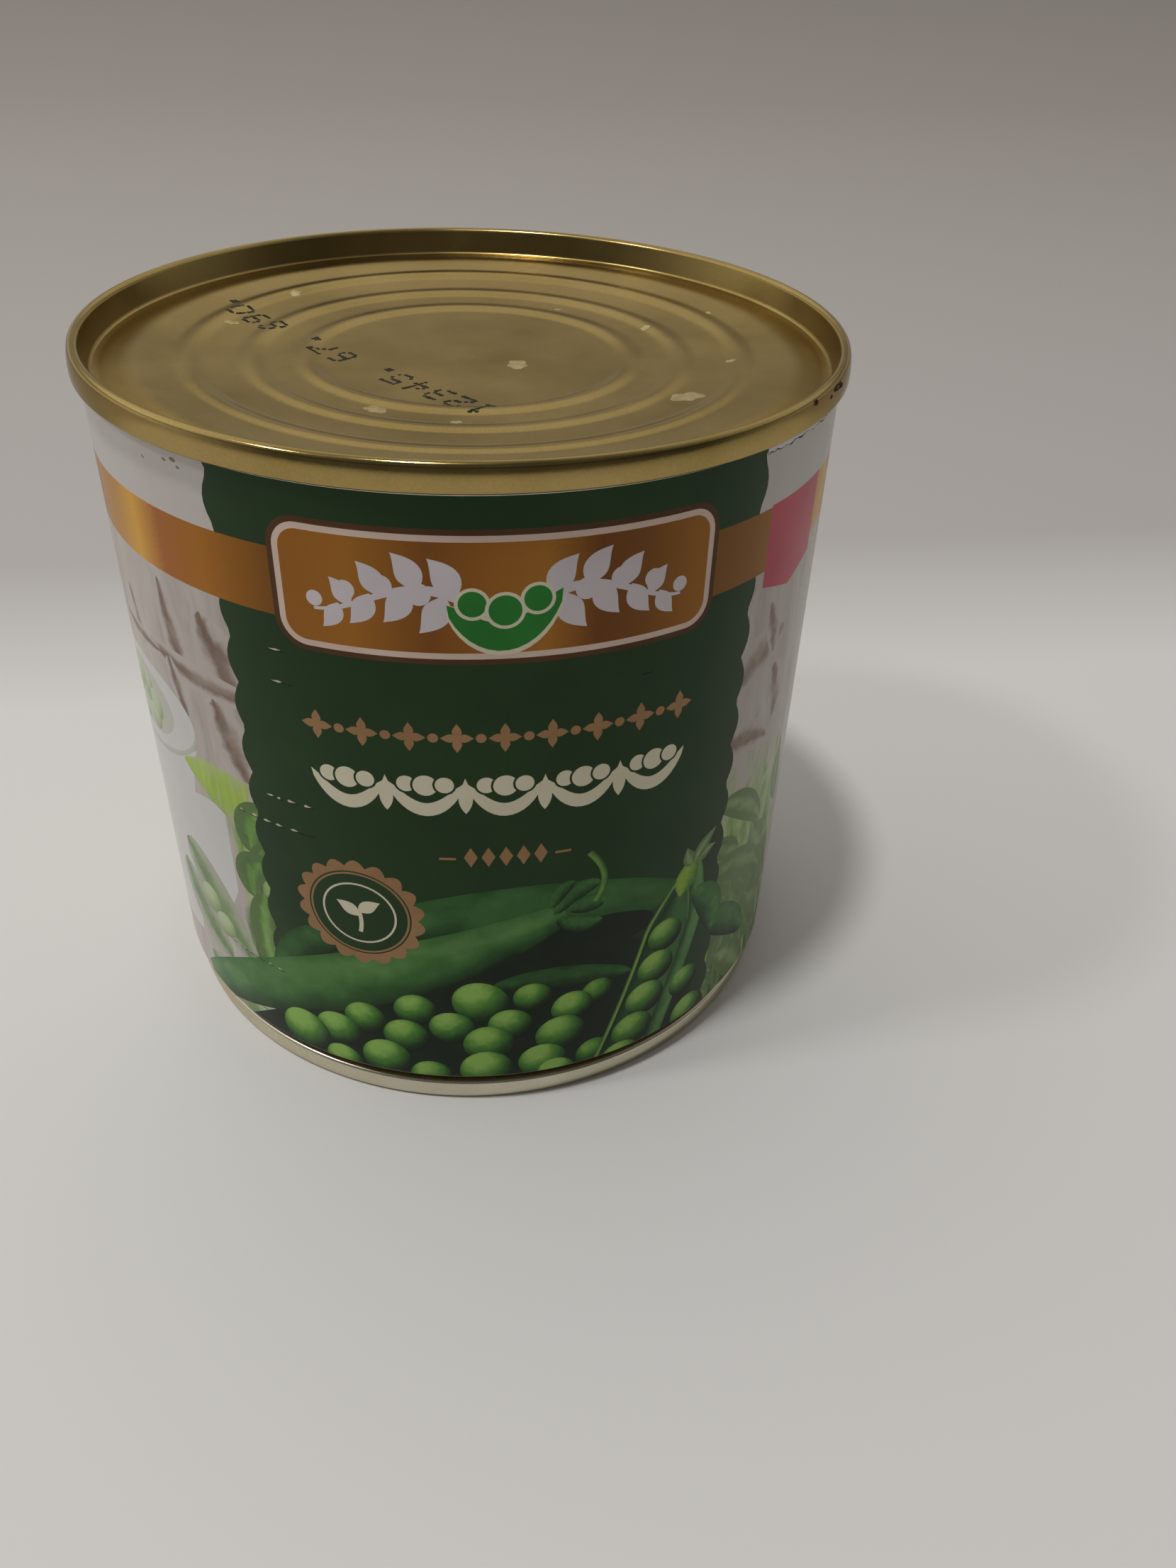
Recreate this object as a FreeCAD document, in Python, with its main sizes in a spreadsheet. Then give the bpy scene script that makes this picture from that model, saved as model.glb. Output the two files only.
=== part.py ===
import FreeCAD, Part
import math
import os
import re
import Sketcher

# A shut, round food can: a printed tinplate body that is necked in at its foot,
# so that cans stack, closed by a double-seamed end at the top and another at the
# bottom. It is full and can't be seen into, so the body is solid between its
# ends. Millimetres; +Z is the can's axis and z = 0 is what the can stands on.

DIMENSIONS = {
    # the printed body
    "can_height": 85.0,           # from the bottom seam's rim to the top seam's rim
    "body_diameter": 84.8,        # outside of the printed wall
    "wall_gauge": 0.2,            # tinplate of the wall round the foot of each end
    "neck_reduction": 1.5,        # how far the foot is drawn in, on the radius
    "neck_straight": 0.6,         # straight neck above the bottom seam
    "neck_rise": 1.2,             # height in which the neck opens to the full wall
    "neck_round": 0.8,
    # the double seams
    "top_seam_length": 3.0,
    "bottom_seam_length": 3.1,
    "seam_thickness": 1.4,        # across the folded layers
    "seam_overhang": 0.9,         # how far a seam stands out from its wall
    "seam_crest_round": 0.65,
    "seam_lip_round": 0.35,
    # the stamped ends, whose depths are counted from their own rim
    "chuck_wall_draft": 0.4,      # lean of the wall inside a seam, on the radius
    "countersink_depth": 3.2,
    "countersink_land": 0.8,
    "countersink_round": 0.45,
    "shoulder_width": 3.5,        # sloped ring between countersink and panel
    "panel_depth": 2.8,           # the panel at its outer edge
    "panel_dish": 1.6,            # how far the vacuum draws the middle in
    "end_web": 0.5,               # tinplate and lining behind the deepest point
    # the raised expansion beads of the ends, each counted in from what lies outside it
    "outer_bead_inset": 5.8,      # from the shoulder to the outer bead's crest
    "middle_bead_inset": 6.9,
    "inner_bead_inset": 5.9,
    "panel_flat_inset": 4.1,      # from the inner bead's crest to the flat middle
    "bead_width": 3.2,
    "bead_height": 0.4,
}

BODY_RADIUS = "(body_diameter / 2)"
NECK_RADIUS = "(body_diameter / 2 - neck_reduction)"
PLUG_DEPTH = "(max(countersink_depth; panel_depth + panel_dish) + end_web)"

SHARP = None
CREST = "crest"                   # a bead's arc passes through the point

doc = FreeCAD.newDocument("FoodCan")
sheet = doc.addObject("Spreadsheet::Sheet", "Dimensions")
for row, (alias, value) in enumerate(DIMENSIONS.items(), start=1):
    sheet.set(f"A{row}", alias)
    sheet.set(f"B{row}", str(value))
    sheet.setAlias(f"B{row}", alias)
doc.recompute()


def bound(formula):
    """The formula with each size name in it pointed at the sheet."""
    return re.sub(r"[a-z]+(_[a-z]+)+", lambda name: f"Dimensions.{name[0]}", formula)


def arc_through(first, middle, last):
    """An arc, with the numbers of its ends at the first and at the last point."""
    anticlockwise = (middle - first).cross(last - middle).z > 0
    return Part.ArcOfCircle(first, middle, last), (1, 2) if anticlockwise else (2, 1)


def rounding(before, corner, after, radius):
    """The arc that rounds a corner, its two ends' places and their numbers."""
    to_before = (before - corner).normalize()
    to_after = (after - corner).normalize()
    half_angle = to_before.getAngle(to_after) / 2
    setback = radius / math.tan(half_angle)
    centre = corner + (to_before + to_after).normalize() * (radius / math.sin(half_angle))
    middle = centre + (corner - centre).normalize() * radius
    first = corner + to_before * setback
    last = corner + to_after * setback
    arc, ends = arc_through(first, middle, last)
    return arc, (first, last), ends


def turned_body(label, corners):
    """A body of revolution whose half section joins the corners in their order.

    Each corner gives formulas for its radius from the axis and its height, and
    is SHARP, a CREST, or rounded to the formula in its third place.
    """
    body = doc.addObject("PartDesign::Body", label)
    plane = next(o for o in body.Origin.OriginFeatures if o.Role == "XZ_Plane")
    sketch = body.newObject("Sketcher::SketchObject", f"{label}_section")
    sketch.AttachmentSupport = (plane, [""])
    sketch.MapMode = "FlatFace"

    def size(formula):
        return float(sketch.evalExpression(bound(formula)))

    places = [FreeCAD.Vector(size(radius), size(height), 0) for radius, height, _ in corners]
    marks = [sketch.addGeometry(Part.Point(place), True) for place in places]
    constraints = []
    formulas = {}

    def constrain(*arguments):
        constraints.append(Sketcher.Constraint(*arguments))

    def dimension(name, formula, *arguments):
        formulas[name] = (len(constraints), formula)
        constrain(*arguments, size(formula))

    starts, stops = list(places), list(places)
    rounds = {}
    for index, (_, _, kind) in enumerate(corners):
        if kind not in (SHARP, CREST):
            after = places[(index + 1) % len(places)]
            arc, spots, ends = rounding(places[index - 1], places[index], after, size(kind))
            stops[index], starts[index] = spots
            rounds[index] = (sketch.addGeometry(arc, False), ends)

    edge_into, edge_out_of = {}, {}
    for index, (_, _, kind) in enumerate(corners):
        following = (index + 1) % len(corners)
        if kind == CREST:
            continue
        if corners[following][2] == CREST:
            last = (following + 1) % len(corners)
            arc, (first_end, last_end) = arc_through(places[index], places[following], places[last])
            edge = sketch.addGeometry(arc, False)
            constrain("PointOnObject", marks[following], 1, edge)
        else:
            last, first_end, last_end = following, 1, 2
            edge = sketch.addGeometry(Part.LineSegment(starts[index], stops[last]), False)
        edge_out_of[index] = (edge, first_end)
        edge_into[last] = (edge, last_end)

    for index, (radius, height, kind) in enumerate(corners):
        mark = marks[index]
        if radius == "0":
            constrain("PointOnObject", mark, 1, -2)
        else:
            dimension(f"radius_{index}", radius, "DistanceX", -1, 1, mark, 1)
        if height == "0":
            constrain("PointOnObject", mark, 1, -1)
        else:
            dimension(f"height_{index}", height, "DistanceY", -1, 1, mark, 1)
        if kind == SHARP:
            constrain("Coincident", *edge_into[index], mark, 1)
            constrain("Coincident", *edge_out_of[index], mark, 1)
        elif kind != CREST:
            arc, ends = rounds[index]
            constrain("PointOnObject", mark, 1, edge_into[index][0])
            constrain("PointOnObject", mark, 1, edge_out_of[index][0])
            constrain("Tangent", *edge_into[index], arc, ends[0])
            constrain("Tangent", *edge_out_of[index], arc, ends[1])
            dimension(f"round_{index}", kind, "Radius", arc)

    sketch.addConstraint(constraints)
    for name, (index, formula) in formulas.items():
        sketch.renameConstraint(index, name)
        sketch.setExpression(f"Constraints.{name}", bound(formula))

    turned = body.newObject("PartDesign::Revolution", f"{label}_turned")
    turned.Profile = sketch
    turned.ReferenceAxis = (sketch, ["V_Axis"])
    turned.Angle = 360
    return body


def end_corners(wall_radius, rim, inward, seam_length):
    """Half section of a seamed end, from its hidden foot round the seam to its middle."""
    def at(depth):
        return f"{rim} {inward} ({depth})"

    seam_outside = f"({wall_radius} + seam_overhang)"
    seam_inside = f"({seam_outside} - seam_thickness)"
    wall_foot = f"({seam_inside} - chuck_wall_draft)"
    shoulder_foot = f"({wall_foot} - countersink_land)"
    shoulder = f"({shoulder_foot} - shoulder_width)"
    outer_crest = f"({shoulder} - outer_bead_inset)"
    middle_crest = f"({outer_crest} - middle_bead_inset)"
    inner_crest = f"({middle_crest} - inner_bead_inset)"
    flat = f"({inner_crest} - panel_flat_inset)"

    def panel(radius):
        """Depth of the dished panel between its beads."""
        return f"panel_depth + panel_dish * ({shoulder} - ({radius})) / ({shoulder} - {flat})"

    corners = [
        ("0", at(PLUG_DEPTH), SHARP),
        (f"{wall_radius} - wall_gauge", at(PLUG_DEPTH), SHARP),
        (f"{wall_radius} - wall_gauge", at(seam_length), SHARP),
        (seam_outside, at(seam_length), "seam_lip_round"),
        (seam_outside, rim, "seam_crest_round"),
        (seam_inside, rim, "seam_crest_round"),
        (wall_foot, at("countersink_depth"), "countersink_round"),
        (shoulder_foot, at("countersink_depth"), SHARP),
        (shoulder, at("panel_depth"), SHARP),
    ]
    for crest in (outer_crest, middle_crest, inner_crest):
        outer_foot = f"{crest} + bead_width / 2"
        inner_foot = f"{crest} - bead_width / 2"
        corners += [
            (outer_foot, at(panel(outer_foot)), SHARP),
            (crest, at(f"{panel(crest)} - bead_height"), CREST),
            (inner_foot, at(panel(inner_foot)), SHARP),
        ]
    corners += [
        (flat, at("panel_depth + panel_dish"), SHARP),
        ("0", at("panel_depth + panel_dish"), SHARP),
    ]
    return corners


# The printed wall with the food behind it. It stops under the top seam and on
# the bottom seam, and the foot of each end plugs into it.
can_body = turned_body("can_body", [
    ("0", PLUG_DEPTH, SHARP),
    (f"{NECK_RADIUS} - wall_gauge", PLUG_DEPTH, SHARP),
    (f"{NECK_RADIUS} - wall_gauge", "bottom_seam_length", SHARP),
    (NECK_RADIUS, "bottom_seam_length", SHARP),
    (NECK_RADIUS, "bottom_seam_length + neck_straight", "neck_round"),
    (BODY_RADIUS, "bottom_seam_length + neck_straight + neck_rise", "neck_round"),
    (BODY_RADIUS, "can_height - top_seam_length", SHARP),
    (f"{BODY_RADIUS} - wall_gauge", "can_height - top_seam_length", SHARP),
    (f"{BODY_RADIUS} - wall_gauge", f"can_height - {PLUG_DEPTH}", SHARP),
    ("0", f"can_height - {PLUG_DEPTH}", SHARP),
])

# The lacquered end at the top, with its seam, countersink and beaded panel.
top_end = turned_body(
    "top_end", end_corners(BODY_RADIUS, "can_height", "-", "top_seam_length"))

# The same stamping on the necked foot, with every radius drawn in as the neck is.
bottom_end = turned_body(
    "bottom_end", end_corners(NECK_RADIUS, "0", "+", "bottom_seam_length"))

for body in (can_body, top_end, bottom_end):
    body.Placement = FreeCAD.Placement()
doc.recompute()

for item in doc.Objects:
    if "Invalid" in item.State or "Error" in item.State:
        raise RuntimeError(f"{item.Label} did not build: {item.State}")
    if item.isDerivedFrom("Sketcher::SketchObject") and not item.FullyConstrained:
        raise RuntimeError(f"{item.Label} is not fully constrained")

os.makedirs("parts", exist_ok=True)
for body in (can_body, top_end, bottom_end):
    if body.Shape.isNull() or not body.Shape.isValid() or len(body.Shape.Solids) != 1:
        raise RuntimeError(f"{body.Label} is not one valid solid")
for body in (can_body, top_end, bottom_end):
    body.Shape.exportStep(f"parts/{body.Label}.step")
    print(f"{body.Label}: {body.Shape.Volume / 1000:.1f} cm3, {body.Shape.BoundBox}")
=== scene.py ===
import math
import random

import bmesh
import bpy
from mathutils import Matrix, Vector
from mathutils.geometry import delaunay_2d_cdt


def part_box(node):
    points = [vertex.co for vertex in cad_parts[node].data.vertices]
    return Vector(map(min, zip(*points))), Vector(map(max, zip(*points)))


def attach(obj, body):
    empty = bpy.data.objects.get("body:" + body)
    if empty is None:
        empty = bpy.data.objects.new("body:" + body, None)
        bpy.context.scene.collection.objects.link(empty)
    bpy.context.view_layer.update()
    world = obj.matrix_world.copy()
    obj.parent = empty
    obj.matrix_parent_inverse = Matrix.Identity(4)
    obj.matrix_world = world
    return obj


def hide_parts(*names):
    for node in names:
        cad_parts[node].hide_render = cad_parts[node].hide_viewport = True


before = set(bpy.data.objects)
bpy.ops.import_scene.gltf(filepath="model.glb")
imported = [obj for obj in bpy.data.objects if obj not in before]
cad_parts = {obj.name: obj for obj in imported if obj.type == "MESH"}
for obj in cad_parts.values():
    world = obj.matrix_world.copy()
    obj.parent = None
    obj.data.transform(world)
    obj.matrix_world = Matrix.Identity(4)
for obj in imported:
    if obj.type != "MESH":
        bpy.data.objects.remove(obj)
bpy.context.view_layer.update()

# ---------------------------------------------------------------------------
# The printed wall.
# One sheet of tinplate, coated white and printed flat in several inks under a
# clear stoving varnish, then rolled up, welded and drawn in at its foot. Here
# too it is laid out flat, ink over ink, and then rolled round the can.
# ---------------------------------------------------------------------------

MM = 0.001                       # sizes here are in millimetres, the scene is in metres

wall_low, wall_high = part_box("can_body")
wall_radius = wall_high.x / MM
wall_foot = wall_low.z / MM
wall_top = wall_high.z / MM
circumference = 2 * math.pi * wall_radius

# The neck: a short straight, a slope and two roundings lead to the full wall.
neck_reduction = (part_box("top_end")[1].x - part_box("bottom_end")[1].x) / MM
neck_straight = 0.6
neck_rise = 1.2
neck_round = 0.8
neck_lean = math.atan2(neck_reduction, neck_rise)
neck_setback = neck_round * math.tan(neck_lean / 2)
foot_round_start = wall_foot + neck_straight - neck_setback
foot_round_end = wall_foot + neck_straight + neck_setback * math.cos(neck_lean)
slope_end = wall_foot + neck_straight + neck_rise - neck_setback * math.cos(neck_lean)
full_wall_start = wall_foot + neck_straight + neck_rise + neck_setback


def wall_radius_at(z):
    """Radius of the wall at a height, from the drawn-in foot up to the full wall."""
    if z >= full_wall_start:
        return wall_radius
    if z > slope_end:
        return wall_radius - neck_round + math.sqrt(neck_round ** 2 - (full_wall_start - z) ** 2)
    if z > foot_round_end:
        return wall_radius - neck_reduction + (z - wall_foot - neck_straight) * math.tan(neck_lean)
    if z > foot_round_start:
        rise = math.sqrt(neck_round ** 2 - (z - foot_round_start) ** 2)
        return wall_radius - neck_reduction + neck_round - rise
    return wall_radius - neck_reduction


def on_wall(s, z, lift=0.0):
    """A place on the sheet, rolled round the can, in metres.

    s runs round the wall to the right from the middle of the front and z is
    the height, both in millimetres.
    """
    radius = wall_radius_at(z) + lift
    return Vector((radius * math.sin(s / wall_radius), -radius * math.cos(s / wall_radius), z)) * MM


def linear(code):
    """A colour written as an sRGB hex code, in linear values."""
    parts = [int(code[i:i + 2], 16) / 255 for i in (1, 3, 5)]
    return tuple(c / 12.92 if c < 0.04045 else ((c + 0.055) / 1.055) ** 2.4 for c in parts) + (1.0,)


def add(tree, kind, inputs=None, stops=(), **settings):
    """Add a node with its settings, and its sockets' values or links.

    Where a node is given for a socket, its first output in use is linked. A
    colour ramp also takes its stops, as (place, hex colour) pairs.
    """
    node = tree.nodes.new(kind)
    for name, value in settings.items():
        setattr(node, name, value)
    for socket, value in (inputs or {}).items():
        if isinstance(value, bpy.types.Node):
            value = next(output for output in value.outputs if output.enabled)
        if isinstance(value, bpy.types.NodeSocket):
            tree.links.new(value, node.inputs[socket])
        else:
            node.inputs[socket].default_value = value
    for index, (place, code) in enumerate(stops):
        elements = node.color_ramp.elements
        element = elements[index] if index < len(elements) else elements.new(place)
        element.position = place
        element.color = linear(code)
    return node


def surface(name, roughness, metallic=0.0):
    """A new material, with its node tree and its main shader."""
    material = bpy.data.materials.new(name)
    material.use_nodes = True
    shader = material.node_tree.nodes["Principled BSDF"]
    shader.inputs["Roughness"].default_value = roughness
    shader.inputs["Metallic"].default_value = metallic
    return material, material.node_tree, shader


def varnished(name, roughness=0.48, metallic=0.0):
    """A litho ink under stoving varnish, which gives the print its soft gloss.

    The ink itself is nearly matt, so that dark inks stay dark, and the thin
    varnish over it dries in a faint orange peel of about 1.2 mm.
    """
    material, tree, shader = surface(name, roughness, metallic)
    shader.inputs["Specular IOR Level"].default_value = 0.08
    shader.inputs["Coat Weight"].default_value = 0.5
    shader.inputs["Coat IOR"].default_value = 1.25
    shader.inputs["Coat Roughness"].default_value = 0.14
    place = add(tree, "ShaderNodeTexCoord")
    peel = add(tree, "ShaderNodeTexNoise",
               {"Vector": place.outputs["Object"], "Scale": 1 / (1.2 * MM), "Detail": 1.0})
    bump = add(tree, "ShaderNodeBump", {"Height": peel, "Strength": 0.3, "Distance": 0.004 * MM})
    tree.links.new(bump.outputs["Normal"], shader.inputs["Normal"])
    tree.links.new(bump.outputs["Normal"], shader.inputs["Coat Normal"])
    return material, tree, shader


def flat_ink(name, light, dark, mottle=8.0, **finish):
    """One ink rolled on as a flat field, a little uneven over mottle millimetres."""
    material, tree, shader = varnished(name, **finish)
    sheet = add(tree, "ShaderNodeUVMap", uv_map="Sheet")
    uneven = add(tree, "ShaderNodeTexNoise", {"Vector": sheet, "Scale": 1 / mottle, "Detail": 4.0})
    colour = add(tree, "ShaderNodeValToRGB", {"Fac": uneven}, stops=[(0.3, dark), (0.7, light)])
    tree.links.new(colour.outputs["Color"], shader.inputs["Base Color"])
    return material


def round_ink(name, stops):
    """Inks of a pea: a ball lit from above and a little from the left, its skin mottled over 1.25 mm."""
    light_from = (-0.26, 0.5, 0.0)
    material, tree, shader = varnished(name)
    motif = add(tree, "ShaderNodeUVMap", uv_map="Motif")
    flat = add(tree, "ShaderNodeVectorMath", {0: motif, 1: motif}, operation="DOT_PRODUCT")
    square = add(tree, "ShaderNodeMath", {0: 1.0, 1: flat}, operation="SUBTRACT", use_clamp=True)
    depth = add(tree, "ShaderNodeMath", {0: square, 1: 0.65}, operation="POWER")
    side = add(tree, "ShaderNodeVectorMath", {0: motif, 1: light_from}, operation="DOT_PRODUCT")
    lit = add(tree, "ShaderNodeMath", {0: depth, 1: 0.57, 2: side}, operation="MULTIPLY_ADD")
    sheet = add(tree, "ShaderNodeUVMap", uv_map="Sheet")
    skin = add(tree, "ShaderNodeTexNoise",
               {"Vector": sheet, "Scale": 1 / 1.25, "Detail": 3.0, "Distortion": 0.6})
    tint = add(tree, "ShaderNodeAttribute", attribute_name="tint")
    uneven = add(tree, "ShaderNodeMath",
                 {0: skin, 1: 1.1, 2: tint.outputs["Fac"]}, operation="MULTIPLY_ADD")
    tone = add(tree, "ShaderNodeMath", {0: uneven, 1: 0.22, 2: lit}, operation="MULTIPLY_ADD")
    colour = add(tree, "ShaderNodeValToRGB", {"Fac": tone}, stops=stops)
    tree.links.new(colour.outputs["Color"], shader.inputs["Base Color"])
    return material


def long_ink(name, stops, veins, around=None):
    """Inks of a pod or a leaf: lighter along its upper side, with veins across it.

    Veins are counted over its length, and it is clouded over some 4.5 mm. What
    is out of focus melts at its edges into the colour around it, in a haze of 1.8 mm.
    """
    material, tree, shader = varnished(name)
    motif = add(tree, "ShaderNodeUVMap", uv_map="Motif")
    parts = add(tree, "ShaderNodeSeparateXYZ", {"Vector": motif})
    stretched = add(tree, "ShaderNodeMapping", {"Vector": motif, "Scale": (veins, 1.3, 1.0)})
    vein = add(tree, "ShaderNodeTexNoise",
               {"Vector": stretched, "Scale": 1.0, "Detail": 3.0, "Distortion": 0.4})
    sheet = add(tree, "ShaderNodeUVMap", uv_map="Sheet")
    blur = add(tree, "ShaderNodeTexNoise", {"Vector": sheet, "Scale": 0.22, "Detail": 4.0})
    tint = add(tree, "ShaderNodeAttribute", attribute_name="tint")
    square = add(tree, "ShaderNodeMath", {0: parts.outputs["Y"], 1: parts.outputs["Y"]},
                 operation="MULTIPLY")
    body = add(tree, "ShaderNodeMath", {0: square, 1: -0.3, 2: 0.12}, operation="MULTIPLY_ADD")
    tone = add(tree, "ShaderNodeMath", {0: parts.outputs["Y"], 1: 0.24, 2: body},
               operation="MULTIPLY_ADD")
    for part, weight in ((vein, 0.35), (blur, 0.35), (tint, 0.25)):
        tone = add(tree, "ShaderNodeMath", {0: part.outputs["Fac"], 1: weight, 2: tone},
                   operation="MULTIPLY_ADD")
    ramp = add(tree, "ShaderNodeValToRGB", {"Fac": tone}, stops=stops)
    colour = ramp.outputs["Color"]
    if around:
        edge = add(tree, "ShaderNodeMath", {0: parts.outputs["Y"]}, operation="ABSOLUTE")
        haze = add(tree, "ShaderNodeTexNoise", {"Vector": sheet, "Scale": 0.55, "Detail": 3.0})
        ragged = add(tree, "ShaderNodeMath", {0: haze, 1: 0.8, 2: edge}, operation="MULTIPLY_ADD")
        melt = add(tree, "ShaderNodeMapRange",
                   {"Value": ragged, "From Min": 0.5, "From Max": 1.15},
                   interpolation_type="SMOOTHSTEP")
        blend = add(tree, "ShaderNodeMix",
                    {"Factor": melt, "A": colour, "B": linear(around)}, data_type="RGBA")
        colour = blend.outputs["Result"]
    tree.links.new(colour, shader.inputs["Base Color"])
    return material


def gold_ink(name, stops):
    """Transparent gold lacquer printed on the bright tin; its soft upright bands of tone are painted
    reflections.

    A grain of 0.3 mm roughens the edges of the bands.
    """
    material, tree, shader = varnished(name, roughness=0.4, metallic=0.12)
    motif = add(tree, "ShaderNodeUVMap", uv_map="Motif")
    parts = add(tree, "ShaderNodeSeparateXYZ", {"Vector": motif})
    sheet = add(tree, "ShaderNodeUVMap", uv_map="Sheet")
    grain = add(tree, "ShaderNodeTexNoise", {"Vector": sheet, "Scale": 3.0, "Detail": 4.0})
    shifted = add(tree, "ShaderNodeMath", {0: grain, 1: 0.05, 2: parts.outputs["X"]},
                  operation="MULTIPLY_ADD")
    colour = add(tree, "ShaderNodeValToRGB", {"Fac": shifted}, stops=stops)
    tree.links.new(colour.outputs["Color"], shader.inputs["Base Color"])
    return material


# Limewashed boards, printed out of focus: nearly white, with faint upright
# streaks, 3 mm wide and 12 mm long.
board_white = "#C0B7B0"
boards, tree, shader = varnished("limewashed board print")
sheet = add(tree, "ShaderNodeUVMap", uv_map="Sheet")
streak_place = add(tree, "ShaderNodeMapping", {"Vector": sheet, "Scale": (0.3, 0.08, 1.0)})
streak = add(tree, "ShaderNodeTexNoise",
             {"Vector": streak_place, "Scale": 1.0, "Detail": 3.0, "Distortion": 0.8})
colour = add(tree, "ShaderNodeValToRGB", {"Fac": streak},
             stops=[(0.3, "#C8C1BB"), (0.5, board_white), (0.72, "#B3A79E")])
tree.links.new(colour.outputs["Color"], shader.inputs["Base Color"])

# Foliage out of focus: slanting fibres in several greens, 3 mm wide and 8 mm
# long, that are darker towards the foot and thin out into the boards along the
# top and the far side.
foliage, tree, shader = varnished("blurred foliage print")
sheet = add(tree, "ShaderNodeUVMap", uv_map="Sheet")
fibre_place = add(tree, "ShaderNodeMapping",
                  {"Vector": sheet, "Rotation": (0.0, 0.0, 0.5), "Scale": (0.34, 0.12, 1.0)})
fibre = add(tree, "ShaderNodeTexNoise",
            {"Vector": fibre_place, "Scale": 1.0, "Detail": 4.0, "Distortion": 1.2})
motif = add(tree, "ShaderNodeUVMap", uv_map="Motif")
parts = add(tree, "ShaderNodeSeparateXYZ", {"Vector": motif})
tone = add(tree, "ShaderNodeMath", {0: parts.outputs["Y"], 1: 0.3, 2: fibre}, operation="MULTIPLY_ADD")
greens = add(tree, "ShaderNodeValToRGB", {"Fac": tone},
             stops=[(0.35, "#3B5532"), (0.5, "#5E7F45"), (0.64, "#8BAA60"), (0.85, "#B4C592")])
farthest = add(tree, "ShaderNodeMath", {0: parts.outputs["X"], 1: parts.outputs["Y"]},
               operation="MAXIMUM")
ragged = add(tree, "ShaderNodeMath", {0: fibre, 1: 0.5, 2: farthest}, operation="MULTIPLY_ADD")
thinned = add(tree, "ShaderNodeMapRange",
              {"Value": ragged, "From Min": 0.95, "From Max": 1.2},
              interpolation_type="SMOOTHSTEP")
colour = add(tree, "ShaderNodeMix", {"Factor": thinned, "A": greens,
                                     "B": linear(board_white)}, data_type="RGBA")
tree.links.new(colour.outputs["Result"], shader.inputs["Base Color"])

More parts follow.
